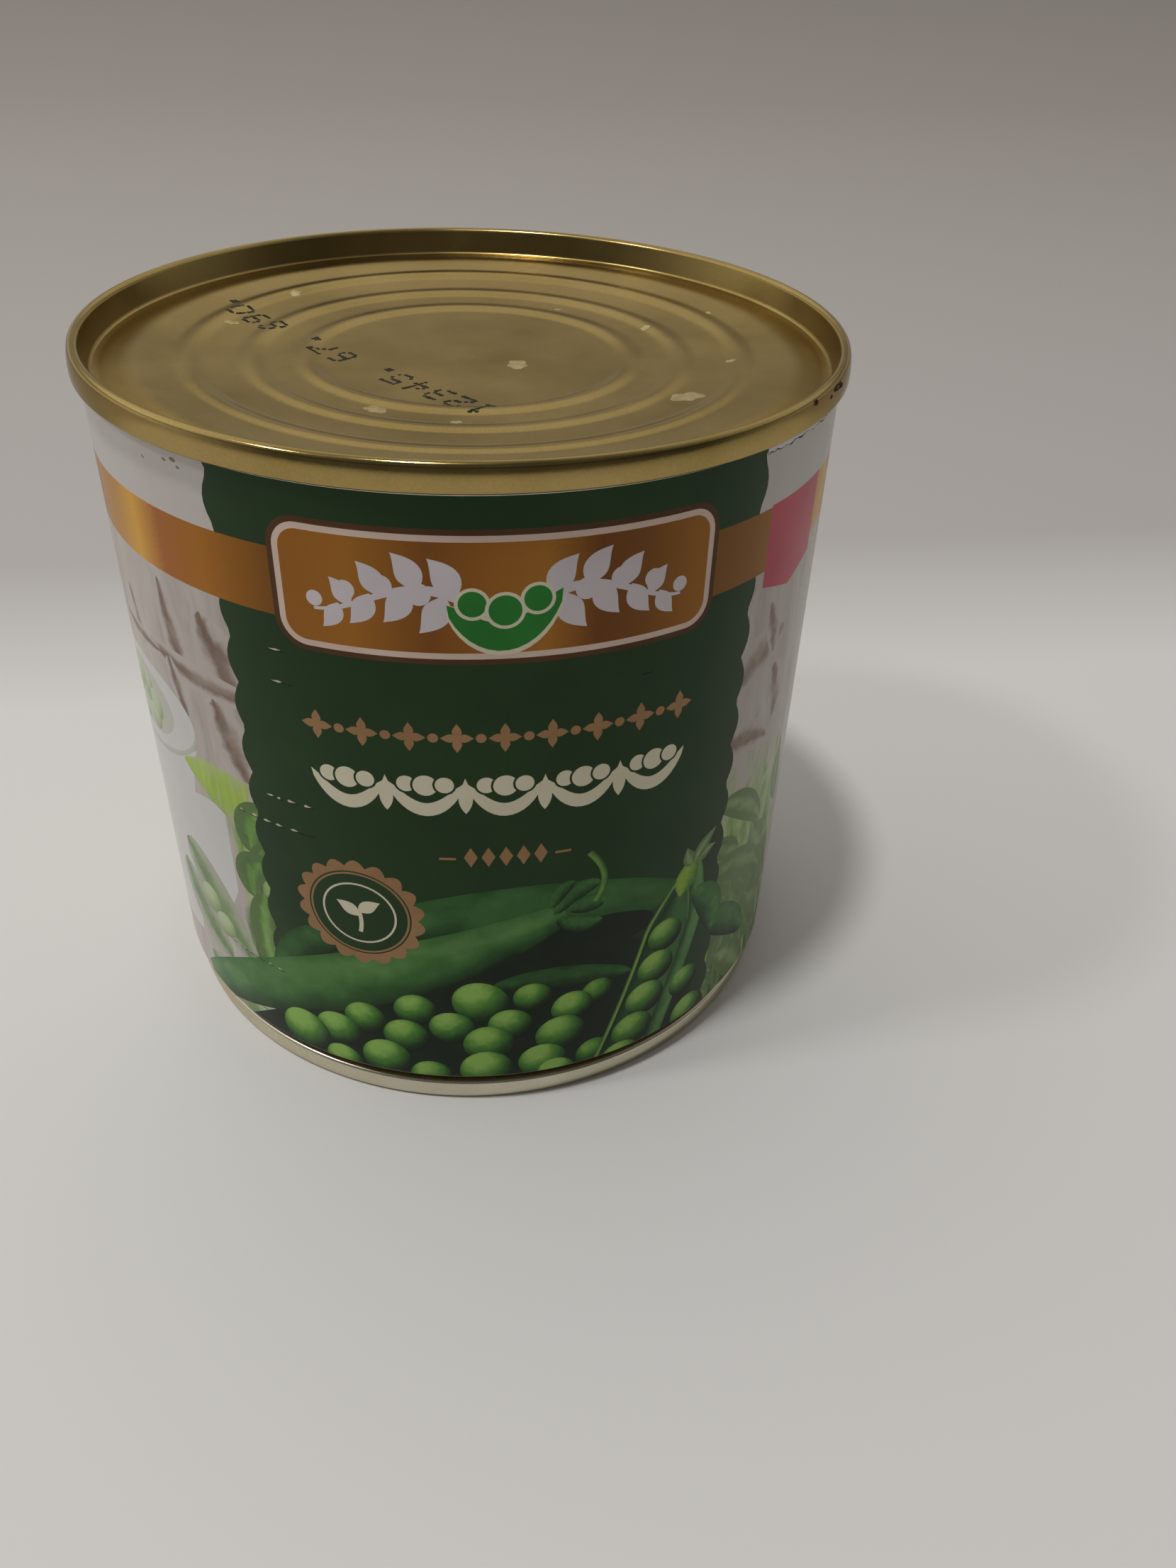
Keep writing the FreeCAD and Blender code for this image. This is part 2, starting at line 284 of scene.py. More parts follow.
# What the sheet is printed with. The coat and the flat inks are even fields,
# bare tinplate and the gold lacquer show the metal, and the inks of the picture
# shade each pea, pod and leaf by its own motif coordinates.
inks = {
    "white": flat_ink("white enamel coat", "#CCC6C1", "#C5BEB8"),
    "boards": boards,
    "foliage": foliage,
    "deep green": flat_ink("deep green litho ink", "#264220", "#1F3819", mottle=14.0),
    "night green": flat_ink("night green litho ink", "#1A2A18", "#131F12", mottle=4.0),
    "cream": flat_ink("cream litho ink", "#E4DEC4", "#DAD2B6"),
    "lilac white": flat_ink("lilac white litho ink", "#DCD3D6", "#D2C9CD"),
    "copper": flat_ink("copper litho ink", "#A9835C", "#97724C", metallic=0.2),
    "brown": flat_ink("brown litho ink", "#5E3D22", "#4E321B"),
    "fresh green": flat_ink("fresh green litho ink", "#2F8A35", "#27792E"),
    "rose": flat_ink("rose litho ink", "#CB5060", "#B94454"),
    "china": flat_ink("china white litho ink", "#DAD9D6", "#D0CECA", mottle=14.0),
    "china shade": flat_ink("china shade litho ink", "#C6C6BA", "#B9BAAA", mottle=10.0),
    "tin": flat_ink("bare tinplate", "#C9C3B2", "#B1AB9B", mottle=3.0, roughness=0.34, metallic=1.0),
    # Painted shade: the dark brown on the drawn-in neck stands for the shade in its groove.
    "neck shade": flat_ink("brown painted neck shade", "#6E6241", "#5A4F33", mottle=3.0, metallic=0.6),
    # Black ink for the ragged edge of the chipped strip and for the painted shadows under the scratches.
    "scratch shadow and chip edge": flat_ink("black ink for chip edges and painted scratch shadows", "#1B1713", "#120F0C"),
    # The gold inks carry painted reflections in their bands of tone.
    "gold": gold_ink("gold lacquer print", [
        (0.0, "#9A611D"), (0.18, "#A86D22"), (0.36, "#85501A"), (0.5, "#9F651E"),
        (0.62, "#AD7228"), (0.74, "#774516"), (0.86, "#82501B"), (1.0, "#A0681F")]),
    "band gold": gold_ink("gold lacquer band", [
        (0.0, "#AA6E08"), (0.16, "#C58A12"), (0.25, "#DFA318"), (0.36, "#A85E08"),
        (0.5, "#AC6C0A"), (0.7, "#7F5014"), (0.84, "#8C5B16"), (1.0, "#AA6E08")]),
    "pea": round_ink("fresh pea print", [
        (0.0, "#12200D"), (0.3, "#1F3A17"), (0.52, "#366226"), (0.74, "#528A34"), (0.98, "#97C25E")]),
    "pale pea": round_ink("distant pea print", [
        (0.1, "#8C9F70"), (0.5, "#A5B985"), (0.9, "#BECCA5")]),
    "pod": long_ink("pea pod print", [
        (0.05, "#152A13"), (0.36, "#2D5426"), (0.58, "#437537"), (0.85, "#6E9C5A")], 9.0),
    "back pod": long_ink("shaded pea pod print", [
        (0.1, "#162912"), (0.42, "#254821"), (0.6, "#36632F"), (0.85, "#4F7F44")], 9.0),
    "young pod": long_ink("young pea pod print", [
        (0.1, "#365524"), (0.42, "#547C38"), (0.62, "#76A04D"), (0.9, "#A3C374")], 7.0),
    "leaf": long_ink("pea leaf print", [
        (0.1, "#4F7A28"), (0.42, "#7CA338"), (0.65, "#A1C048"), (0.9, "#C3D678")], 14.0),
    "far leaf": long_ink("distant foliage print", [
        (0.1, "#3C5530"), (0.42, "#5B7845"), (0.65, "#7F9A60"), (0.9, "#A4B788")], 6.0, "#66804B"),
    "far pod": long_ink("distant pod print", [
        (0.1, "#4E6A3F"), (0.42, "#6A8853"), (0.65, "#89A36F"), (0.9, "#AEC098")], 6.0, "#AEB29C"),
    "stain": long_ink("brown board stain print", [
        (0.2, "#62483C"), (0.5, "#7F675A"), (0.75, "#A99889")], 3.0, board_white),
    "soft leaf": long_ink("pea leaf print out of focus", [
        (0.1, "#5A8330"), (0.42, "#84AA3F"), (0.65, "#A6C34E"), (0.9, "#C3D678")], 9.0, board_white),
    "soft pod": long_ink("young pea pod print out of focus", [
        (0.1, "#365524"), (0.42, "#547C38"), (0.62, "#76A04D"), (0.9, "#A3C374")], 6.0, "#5E7B45"),
    "plaque line": flat_ink("pale pink litho ink", "#E2CABC", "#D8BEAE"),
    "scuff": flat_ink("grey-brown scuff", "#8E8176", "#75685D", mottle=0.6),
}

# All that is printed, in its order, and the middle lines of what grows along a
# path, which become edges of the mesh.
painted = []
guides = []


def paint(ink, outline, motif=None, tint=0.5):
    """Print a closed outline over all that is printed so far.

    motif turns a place on the sheet into the motif's own pair of coordinates,
    and tint is from 0, darker, to 1, lighter.
    """
    doubled_area = sum(a[0] * b[1] - b[0] * a[1] for a, b in zip(outline, outline[1:] + outline[:1]))
    painted.append((ink, outline if doubled_area > 0 else outline[::-1], motif, tint))


def rectangle(left, right, low, high):
    """An upright field on the sheet, from its four sides."""
    return [(left, low), (right, low), (right, high), (left, high)]


def rounded_rectangle(s, z, width, height, radius, steps=8):
    """A field round (s, z) with four equal round corners."""
    outline = []
    for quarter, (across, up) in enumerate(((1, 1), (-1, 1), (-1, -1), (1, -1))):
        centre_s = s + across * (width / 2 - radius)
        centre_z = z + up * (height / 2 - radius)
        for step in range(steps + 1):
            angle = math.pi / 2 * (quarter + step / steps)
            outline.append((centre_s + radius * math.cos(angle), centre_z + radius * math.sin(angle)))
    return outline


def disc(s, z, radius, points=28, lobes=0, lobe_depth=0.0, squash=1.0, turn=0.0):
    """A circle, or with lobes a scalloped one, or with squash an oval."""
    outline = []
    for i in range(points):
        angle = 2 * math.pi * i / points
        reach = radius + lobe_depth * (abs(math.sin(angle * lobes / 2)) - 0.5)
        x, y = reach * math.cos(angle), reach * squash * math.sin(angle)
        outline.append((s + x * math.cos(turn) - y * math.sin(turn),
                        z + x * math.sin(turn) + y * math.cos(turn)))
    return outline


def centred(s, z, half_width, half_height):
    """Coordinates from -1 to 1 across a motif."""
    return lambda x, y: ((x - s) / half_width, (y - z) / half_height)


def curve(start, bend, end, steps=20):
    """A bent line that leaves start towards bend and comes into end from it."""
    return [tuple((1 - t) ** 2 * a + 2 * t * (1 - t) * b + t * t * c for a, b, c in zip(start, bend, end))
            for t in (i / steps for i in range(steps + 1))]


def beside(path, reach):
    """The line that runs beside a path, at the distance that reach gives for each share of it."""
    moved = []
    for i, (s, z) in enumerate(path):
        before, after = path[max(i - 1, 0)], path[min(i + 1, len(path) - 1)]
        ds, dz = after[0] - before[0], after[1] - before[1]
        step = reach(i / (len(path) - 1)) / math.hypot(ds, dz)
        moved.append((s - dz * step, z + ds * step))
    return moved


def strip(path, half_width):
    """The outline of a strip round a path; both its ends may run out to a point."""
    left = beside(path, half_width)
    right = beside(path, lambda t: -half_width(t))
    return right + [p for p in reversed(left) if min(math.dist(p, q) for q in right) > 0.01]


def lengthwise(path, half_width):
    """Coordinates of a strip: from 0 to 1 along its path, and from -1 to 1 across it."""
    def motif(s, z):
        nearest = min(range(len(path)), key=lambda i: math.hypot(path[i][0] - s, path[i][1] - z))
        before, after = path[max(nearest - 1, 0)], path[min(nearest + 1, len(path) - 1)]
        ds, dz = after[0] - before[0], after[1] - before[1]
        length = math.hypot(ds, dz)
        share = nearest / (len(path) - 1)
        across = (ds * (z - path[nearest][1]) - dz * (s - path[nearest][0])) / length
        return share, max(-1.0, min(1.0, across / max(half_width(share), 0.2)))
    return motif


def grow(ink, path, half_width, tint=0.5):
    """Print a pod, a leaf or a stem along a path."""
    guides.append(path)
    paint(ink, strip(path, half_width), lengthwise(path, half_width), tint)


def blunt(width):
    """Half width of a pod, which is blunt at both ends."""
    return lambda t: width / 2 * max(math.sin(math.pi * t), 0.0) ** 0.5


def pointed(width):
    """Half width of a leaf, broadest near its stalk and running out to a point."""
    return lambda t: width / 2 * max(math.sin(math.pi * t ** 0.8), 0.0) ** 1.1


def even(width):
    """Half width of a stalk, the same all along."""
    return lambda t: width / 2


def tapered(width):
    """Half width of a stem, a quarter as wide at its tip."""
    return lambda t: width / 2 * (1 - 0.75 * t)


def leaf(ink, s, z, length, width, angle, bend=0.15, tint=0.5):
    """A leaf that grows from (s, z) along the angle, in degrees, and bends to its left."""
    a = math.radians(angle)
    tip = (s + length * math.cos(a), z + length * math.sin(a))
    middle = (s + length * (0.5 * math.cos(a) - bend * math.sin(a)),
              z + length * (0.5 * math.sin(a) + bend * math.cos(a)))
    grow(ink, curve((s, z), middle, tip, steps=12), pointed(width), tint)


def pea(s, z, radius, ink="pea", tint=0.5, squash=0.96, turn=0.3):
    """A pea round (s, z), hardly squashed and turned a little."""
    paint(ink, disc(s, z, radius, squash=squash, turn=turn), centred(s, z, radius, radius), tint)


# The sheet is laid out with the middle of the front panel at 0 and its right
# edge, where the weld is, at the back.
chance = random.Random(7)
sheet_seam = 84.0
sheet_left = sheet_seam - circumference
band_low, band_high = 67.7, 74.9


def shifted(front, places, steps=16):
    """A bent line through the sheet whose places are counted from the middle of a panel."""
    return curve(*((front + s, z) for s, z in places), steps=steps)


def picture_left(front):
    """Boards, a china bowl and cup, a leaf and young pods, to the left of a panel."""
    for places, width in (
            (((-39.8, 66.5), (-39.0, 61), (-37.2, 55.5)), 4.4),
            (((-33.0, 65), (-31.6, 61), (-28.6, 54.5)), 6.6),
            (((-45, 57.2), (-36, 55.6), (-24, 56.2)), 3.6),
            (((-40.6, 57), (-39.8, 53.5), (-38.4, 49.5)), 3.0),
            (((-33.2, 54.5), (-31.5, 51), (-29.2, 44.5)), 6.0),
            (((-49, 62), (-47.5, 59), (-47.5, 55)), 2.6),
            (((-54, 57.4), (-48, 56), (-42, 56.6)), 2.2)):
        grow("stain", shifted(front, places), blunt(width), chance.uniform(0.2, 0.7))

    cup = shifted(front, ((-40.2, 38.6), (-36, 39.8), (-33.4, 38.2)), 6)
    cup += shifted(front, ((-31.6, 36.5), (-32.6, 30), (-36.2, 23.5)), 8)
    cup += shifted(front, ((-39, 25), (-42, 26.5), (-44.0, 29)), 5)
    paint("china", cup)
    bowl = shifted(front, ((-38.0, 45.5), (-52, 36), (-66.4, 42)))
    bowl += shifted(front, ((-65.5, 30), (-62, 14), (-53, 11)), 10)
    bowl += shifted(front, ((-47, 12), (-42.6, 26), (-39.4, 43.0)), 10)
    paint("china", bowl)
    paint("china shade", disc(front - 52, 46.4, 14.5, squash=0.44, points=44, turn=0.12))
    paint("china", disc(front - 52, 46.8, 14.3, squash=0.42, points=44, turn=0.12))
    paint("china shade", disc(front - 53, 46.6, 10.6, squash=0.46, points=36, turn=0.12))
    for _ in range(18):
        reach, angle = 8.0 * math.sqrt(chance.random()), chance.uniform(0, 2 * math.pi)
        pea(front - 53 + reach * math.cos(angle), 46.4 + 0.38 * reach * math.sin(angle),
            chance.uniform(1.7, 2.2), "pale pea", chance.random())

    hedge_right, hedge_reach = 28.0, 6.5
    hedge_low, hedge_high = 15.0, 42.0
    paint("foliage", rectangle(front - hedge_right - hedge_reach, front - hedge_right, hedge_low, hedge_high),
          lambda s, z: ((front - hedge_right - s) / hedge_reach, (z - hedge_low) / (hedge_high - hedge_low)))
    limp = shifted(front, ((-41.4, 43.0), (-36.5, 46.2), (-29.5, 44.6)), 10)
    limp += shifted(front, ((-30.2, 41), (-31.0, 38), (-31.8, 36.2)), 5)
    limp += shifted(front, ((-33.5, 38.0), (-37, 39.2), (-41.4, 42.6)), 8)
    paint("soft leaf", limp, centred(front - 36, 41.6, 6.0, 8.0), 0.8)
    for ink, places, width, tint in (
            ("soft pod", ((-27, 42), (-32.0, 39.5), (-30.5, 34.5)), 4.8, 0.4),
            ("soft pod", ((-28, 36.5), (-31.0, 34.5), (-29.5, 32)), 2.4, 0.0),
            ("soft pod", ((-27, 34), (-34.0, 32.5), (-31.4, 27.5)), 4.6, 0.15),
            ("soft pod", ((-29.5, 29), (-31.8, 23), (-29.8, 15)), 4.8, 0.8),
            ("far pod", ((-46.0, 28.5), (-41, 25.5), (-33.0, 14.5)), 7.4, 0.1),
            ("far pod", ((-48.0, 24), (-46.5, 18), (-38.0, 13)), 7.4, 0.0),
            ("far pod", ((-45, 10), (-37, 6.5), (-29, 4.5)), 7.0, 0.45)):
        grow(ink, shifted(front, places), blunt(width), tint)
    for s, z, radius, tint in ((-41.5, 21.4, 2.3, 0.3), (-38.8, 18.6, 2.0, 0.6),
                               (-32.6, 7.6, 2.3, 0.5), (-35.6, 9.4, 2.0, 0.3)):
        pea(front + s, z, radius, "pale pea", tint)


def picture_right(front):
    """Boards with a tangle of leaves and pods out of focus, to the right of a panel."""
    left, right, high = 27.5, 50.0, 47.0
    slope_foot, slope, tip_height = 30, 0.6, 1.4
    top_right = right - slope * (high - slope_foot)

    # Its far side is ragged and slopes in above 30 mm, and leaf tips line its top.
    outline = [(front + left, wall_foot)]
    for i in range(61):
        z = wall_foot + (high - wall_foot) * i / 60
        ragged = 1.3 * math.sin(0.6 * z) + 0.7 * math.sin(1.9 * z) - slope * max(0.0, z - slope_foot)
        outline.append((front + right + ragged, z))
    for i in range(31):
        s = top_right - (top_right - left) * i / 30
        outline.append((front + s, high - tip_height + tip_height * math.sin(2.3 * s) * math.sin(0.7 * s)))
    paint("foliage", outline,
          lambda s, z: ((s - front - left) / (right - left), (z - wall_foot) / (high - wall_foot)))
    for places, width in (
            (((28, 54.0), (31, 57.5), (38.0, 58.4)), 6.0),
            (((36.4, 54), (38.6, 50.5), (38.2, 46.0)), 5.2),
            (((26, 46.4), (31, 47.6), (37.0, 44.0)), 4.6),
            (((33.5, 63), (35.2, 60), (35.6, 56)), 3.2)):
        grow("stain", shifted(front, places), blunt(width), chance.uniform(0.5, 0.9))
    for _ in range(16):
        s, z = chance.uniform(28, 50), chance.uniform(4, 34)
        length, width, angle = chance.uniform(8, 13), chance.uniform(3.5, 5.5), chance.uniform(40, 150)
        leaf("far leaf", front + s, z, length, width, angle, tint=chance.random() * (0.3 + 0.02 * z))
    for ink, places, width, tint in (
            ("far leaf", ((28, 38), (34, 37), (39, 30)), 4.2, 0.8),
            ("far leaf", ((27, 27), (35, 28), (42, 20)), 4.8, 0.5),
            ("pod", ((26, 20.5), (32, 19.5), (38, 12.0)), 5.0, 0.2),
            ("far leaf", ((31, 12), (36, 9), (39, 3.5)), 5.6, 0.9)):
        grow(ink, shifted(front, places), blunt(width), tint)


def wavy_panel(front):
    """The deep green panel, with its round waves along both sides."""
    panel_half_width = 29.0
    wave_pitch, wave_depth, first_cusp = 5.65, 1.0, 75.25
    steps = 90
    right = []
    for i in range(steps + 1):
        z = wall_foot + (wall_top - wall_foot) * i / steps
        swell = wave_depth * (abs(math.sin(math.pi * (z - first_cusp) / wave_pitch)) - 0.5)
        right.append((panel_half_width + swell, z))
    outline = [(front + s, z) for s, z in right] + [(front - s, z) for s, z in reversed(right)]
    paint("deep green", outline)


def plaque(front):
    """A gold plaque in a pale line: sprays of leaves and peas to both sides of a fresh pod."""
    z = (band_low + band_high) / 2 + 0.2
    gold_width = 42.7
    paint("brown", rounded_rectangle(front, z, 45.2, 14.0, 3.3))
    paint("plaque line", rounded_rectangle(front, z, 44.0, 12.8, 2.75))
    paint("gold", rounded_rectangle(front, z, gold_width, 11.5, 2.1),
          lambda s, z: ((s - front) / gold_width + 0.5, 0.0))
    for side in (-1, 1):
        stem = [(front + side * (2.6 + 15.6 * i / 40), z - 0.6 + 1.5 * math.sin(math.pi * i / 27))
                for i in range(41)]
        grow("lilac white", stem, tapered(1.2))
        for i, reach in ((5, 4.7), (14, 4.4), (23, 4.0), (31, 3.3)):
            s, stem_z = stem[i]
            upward = 58 if side > 0 else 122
            leaf("lilac white", s, stem_z - 0.1, reach, 0.58 * reach, upward, bend=0.14 * side)
            leaf("lilac white", s + side, stem_z + 0.1, reach, 0.58 * reach, -upward, bend=-0.14 * side)
            paint("lilac white", disc(s + side * 3.4, stem_z + 0.2, 0.25 * reach, points=18))
    pod = [(-5.4, z - 0.6), (0.2, z - 8.0), (5.6, z + 0.8)]
    grow("cream", shifted(front, pod), blunt(4.1))
    grow("fresh green", shifted(front, pod), blunt(3.1))
    for s, rise, radius in ((-3.0, -0.5, 1.35), (0.1, -1.2, 1.6), (3.2, -0.1, 1.35)):
        paint("cream", disc(front + s, z + rise, radius + 0.35, points=24))
        paint("fresh green", disc(front + s, z + rise, radius, points=24))


def ornament_rows(front):
    """Three rows of plain ornament: copper leaves, cream pods and a short copper row."""
    copper_row, copper_pitch = 55.95, 2.42
    for i in range(-8, 9):
        s = front + i * copper_pitch
        if i % 2:
            paint("copper", disc(s, copper_row, 0.55, points=14))
            continue
        for angle, reach in ((90, 1.75), (270, 1.75), (0, 1.7), (180, 1.7)):
            leaf("copper", s, copper_row, reach, 1.0, angle, bend=0.0)
    for i in range(-2, 3):
        s = front + i * 8.3
        grow("cream", shifted(s, ((-4.0, 50.3), (0.0, 43.4), (4.0, 50.3))), blunt(1.7))
        for step, radius in ((-2.0, 1.0), (0.0, 1.3), (2.0, 1.0)):
            rise = 50.5 - 0.42 * radius
            paint("deep green", disc(s + step, rise, radius + 0.25, points=20))
            paint("cream", disc(s + step, rise, radius, points=20))
        if i < 2:
            leaf("cream", s + 4.15, 46.4, 4.6, 1.5, 90, bend=0.0)
    for i in range(-2, 3):
        s = front + i * 1.9
        paint("copper", [(s - 0.75, 40.45), (s, 39.1), (s + 0.75, 40.45), (s, 41.8)])
    for s in (-7.2, 5.4):
        paint("copper", rectangle(front + s, front + s + 1.8, 40.1, 40.4))


def seal(front):
    """A scalloped copper seal with a sprout on its dark middle."""
    s, z = front - 16.8, 30.85
    paint("copper", disc(s, z, 7.3, points=144, lobes=18, lobe_depth=0.9))
    paint("deep green", disc(s, z, 6.15, points=48))
    paint("copper", disc(s, z, 5.95, points=48))
    paint("deep green", disc(s, z, 5.7, points=48))
    paint("cream", disc(s, z, 4.45, points=40))
    paint("deep green", disc(s, z, 4.2, points=40))
    grow("cream", curve((s, z - 2.8), (s + 0.4, z - 1.2), (s, z + 0.6), 8), even(0.5))
    leaf("cream", s, z + 0.2, 3.2, 1.7, 35, bend=0.1)
    leaf("cream", s, z - 0.4, 3.2, 1.7, 145, bend=-0.1)


def harvest(front):
    """Pods and a heap of peas, along the foot of a panel."""
    dark = shifted(front, ((-38.5, 3), (-14, 23), (2, 27)))
    dark += shifted(front, ((8, 27), (21, 26), (28.6, 3)))
    paint("night green", dark)
    grow("back pod", shifted(front, ((-17, 28.5), (5, 36.4), (27.5, 25.0)), 24), blunt(8.4), 0.6)
    grow("night green", shifted(front, ((1, 25.6), (10, 27.5), (19, 26.0))), blunt(5.4))
    grow("back pod", shifted(front, ((-29.5, 17), (-25, 25.5), (-17, 27))), blunt(4.6), 0.3)
    grow("back pod", shifted(front, ((-2, 20.4), (6, 22.2), (16, 18.5))), blunt(3.6), 0.1)

    shell = shifted(front, ((-46, 5.0), (-21, 19.5), (6.8, 31.0)), 28)
    grow("pod", shell, lambda t: 4.35 * math.sin(math.pi * min(t * 0.9 + 0.06, 1.0)) ** 0.5, 0.62)
    for places, width in (
            (((5.4, 31), (8, 35), (11, 34.6)), 2.4),
            (((5.8, 30.4), (8, 28), (11.4, 29)), 2.4),
            (((5.0, 32), (5.6, 34.5), (7.8, 35.6)), 1.9),
            (((7, 31.4), (10, 32), (11.6, 31.6)), 2.6)):
        grow("back pod", shifted(front, places), blunt(width), 0.75)
    grow("young pod", shifted(front, ((10.4, 31.8), (12.8, 35.5), (9.4, 39.3)), 20), even(0.85), 0.1)

    plump = 1.07
    pea(front + 11.2, 17.0, 2.2, tint=0.0)
    for s, z, radius, tint in (
            (-3.1, 18.0, 3.4, 0.62), (3.1, 18.3, 2.3, 0.3), (-11.0, 16.4, 2.5, 0.42),
            (-17.4, 13.6, 2.6, 0.38), (8.0, 15.4, 2.5, 0.66), (0.4, 14.0, 2.6, 0.46),
            (-6.6, 13.7, 2.7, 0.45), (-21.2, 10.4, 2.9, 0.6), (-12.3, 11.7, 2.7, 0.4),
            (6.6, 11.2, 3.0, 0.48), (-2.2, 10.8, 3.0, 0.5), (-26.1, 8.0, 3.4, 0.8),
            (-15.0, 7.3, 3.0, 0.62), (-20.8, 5.2, 2.4, 0.7), (-9.4, 5.0, 2.5, 0.35),
            (11.0, 6.4, 2.2, 0.05), (4.4, 6.9, 2.9, 0.7), (-2.6, 6.2, 3.1, 0.78), (6.2, 4.4, 2.4, 0.85)):
        squash, turn = chance.uniform(0.88, 1.0), chance.uniform(-0.8, 0.8)
        pea(front + s, z, plump * radius, tint=tint, squash=squash, turn=turn)

    opened = shifted(front, ((24.0, 31.8), (21.4, 19), (15.0, 2.0)), 24)
    grow("pod", opened, lambda t: 4.7 * min(1.0, 3.2 * t) ** 0.6, 0.5)
    grow("back pod", beside(opened, lambda t: -0.7),
         lambda t: 3.7 * max(0.0, min(1.0, 3.2 * t - 0.3)) ** 0.7, 0.7)
    for s, z, radius in ((20.6, 22.2, 2.7), (19.5, 17.4, 2.8), (18.2, 12.6, 3.0),
                         (16.6, 7.8, 3.1), (15.0, 3.6, 2.9)):
        pea(front + s, z, radius, tint=chance.uniform(0.4, 0.65), squash=0.92, turn=-0.4)
    grow("pod", beside(opened, lambda t: 3.5 * min(1.0, 3.4 * t) ** 0.7), lambda t: 1.25, 0.9)
    grow("young pod", beside(opened, lambda t: -4.4 * min(1.0, 3.2 * t) ** 0.6), lambda t: 0.3, 0.6)
    leaf("leaf", front + 22.4, 27.4, 6.6, 3.6, 68, bend=0.05, tint=0.1)
    for angle, reach in ((20, 4.0), (48, 5.4), (112, 3.4)):
        leaf("far leaf", front + 24.2, 31.6, reach, 2.0, angle, tint=0.9)
    grow("pod", shifted(front, ((24.4, 27), (29.5, 24.5), (29.0, 18.0))), blunt(4.6), 0.4)
    for s, z, radius, tint in ((24.6, 12.0, 2.5, 0.3), (25.8, 5.8, 2.9, 0.55)):
        pea(front + s, z, radius, tint=tint)


def pennant(front):
    """A small rose pennant that hangs over the gold band."""
    left, right = front + 31.0, front + 42.8
    tip, corner, top = 64.0, 65.75, 75.1
    paint("rose", [(left, corner), ((left + right) / 2, tip), (right, corner), (right, top), (left, top)])


def facts_field(front):
    """A pale field with plain rules, on the boards between a panel's picture and the next one."""
    s, z = front + 60.2, 36.0
    rule_left, rule_pitch, lowest_rule = s - 4.8, 3.1, 18.0
    paint("deep green", rounded_rectangle(s, z, 12.6, 44.0, 1.6))
    paint("cream", rounded_rectangle(s, z, 12.0, 43.4, 1.3))
    for row in range(12):
        length = 9.6 if row % 4 else 5.2
        low = lowest_rule + rule_pitch * row
        paint("deep green", rectangle(rule_left, rule_left + length, low, low + 0.3))


def scratch(left, right, z):
    """A handling scratch: broken bright dashes of bare tin, a quarter of a millimetre wide.

    Each has a thin dark line along its foot, a painted shadow.
    """
    s = left
    while s < right:
        length = min(chance.uniform(0.4, 1.5), right - s)
        tilt = chance.uniform(-0.06, 0.06)
        # Painted shadow: a dark line along the foot of the dash.
        paint("scratch shadow and chip edge", rectangle(s - 0.1, s + length + 0.3, z + tilt - 0.2, z + tilt - 0.06))
        if chance.random() < 0.75:
            peak = chance.uniform(0.2, 0.8) * length
            paint("tin", [(s, z + tilt - 0.03), (s + peak, z + tilt - 0.12), (s + length, z + tilt + 0.02),
                          (s + peak, z + tilt + chance.uniform(0.1, 0.3))])
        s += length + chance.uniform(0.3, 1.2)


def gold_band(front):
    """A gold band behind a plaque, to both sides; its painted reflections come again every 44 mm."""
    reach_left, reach_right = 49, 84.4
    reflection_pitch, reflection_start = 44, -52
    paint("band gold", rectangle(front - reach_left, front + reach_right, band_low, band_high),
          lambda s, z: (((s - front - reflection_start) / reflection_pitch) % 1.0, 0.0))


# The same print comes twice, on the front of the can and on its back.
paint("white", rectangle(sheet_left, sheet_seam, wall_foot, wall_top))
paint("boards", rectangle(sheet_left, sheet_seam, wall_foot, band_low))
for front in (0.0, -circumference / 2):
    picture_left(front)
    picture_right(front)
    wavy_panel(front)
    gold_band(front)
    plaque(front)
    ornament_rows(front)
    harvest(front)
    seal(front)
    pennant(front)
    facts_field(front)

# Wear on the front, from other cans and from the seaming roll: scratches, a few
# scuffs at the left, and at the right a strip where the coat has chipped up.
for left, right, z in ((-24.0, -22.3, 63.75), (-24.2, -22.0, 59.95), (-27.0, -21.2, 44.65),
                       (-31.5, -21.5, 40.75), (-37.5, -28.3, 17.0), (-33.5, -31.5, 7.75), (14.5, 16.0, 61.2)):
    scratch(left, right, z)
for s, z, half_width in ((-34.2, 80.6, 0.33), (-32.9, 80.9, 0.45), (-32.3, 80.3, 0.27), (-37.8, 79.9, 0.24)):
    paint("scuff", disc(s, z, half_width, points=9, squash=0.5, turn=chance.uniform(-0.6, 0.6)))
chip_left, chip_pitch, chip_foot = 28.8, 0.55, 81.15
chip = [(chip_left + chip_pitch * i, chip_foot + chance.uniform(-0.15, 0.15)) for i in range(31)]
rough_edge = [(s, z - chance.uniform(0.02, 0.24)) for s, z in chip]
paint("scratch shadow and chip edge", rough_edge + [(45.6, wall_top), (28.6, wall_top)])
paint("china", chip + [(45.2, wall_top), (28.9, wall_top)])

# The unprinted margins beside the weld and under the top seam, and on the neck a dark brown film that is
# painted shade of its drawn-in groove.
weld_margin = 2.2
top_margin = 0.3
neck_shade_end = full_wall_start - 0.35
paint("tin", rectangle(sheet_left, sheet_left + weld_margin, wall_foot, wall_top))
paint("tin", rectangle(sheet_seam - weld_margin, sheet_seam, wall_foot, wall_top))
paint("tin", rectangle(sheet_left, sheet_seam, wall_top - top_margin, wall_top))
paint("neck shade", rectangle(sheet_left, sheet_seam, wall_foot, neck_shade_end))


def set_out(name, data):
    """Set a piece, a lamp or the camera out in the scene. A bmesh is made into its mesh first."""
    if isinstance(data, bmesh.types.BMesh):
        shape, data = data, bpy.data.meshes.new(name)
        shape.to_mesh(data)
        shape.free()
    piece = bpy.data.objects.new(name, data)
    bpy.context.scene.collection.objects.link(piece)
    return piece


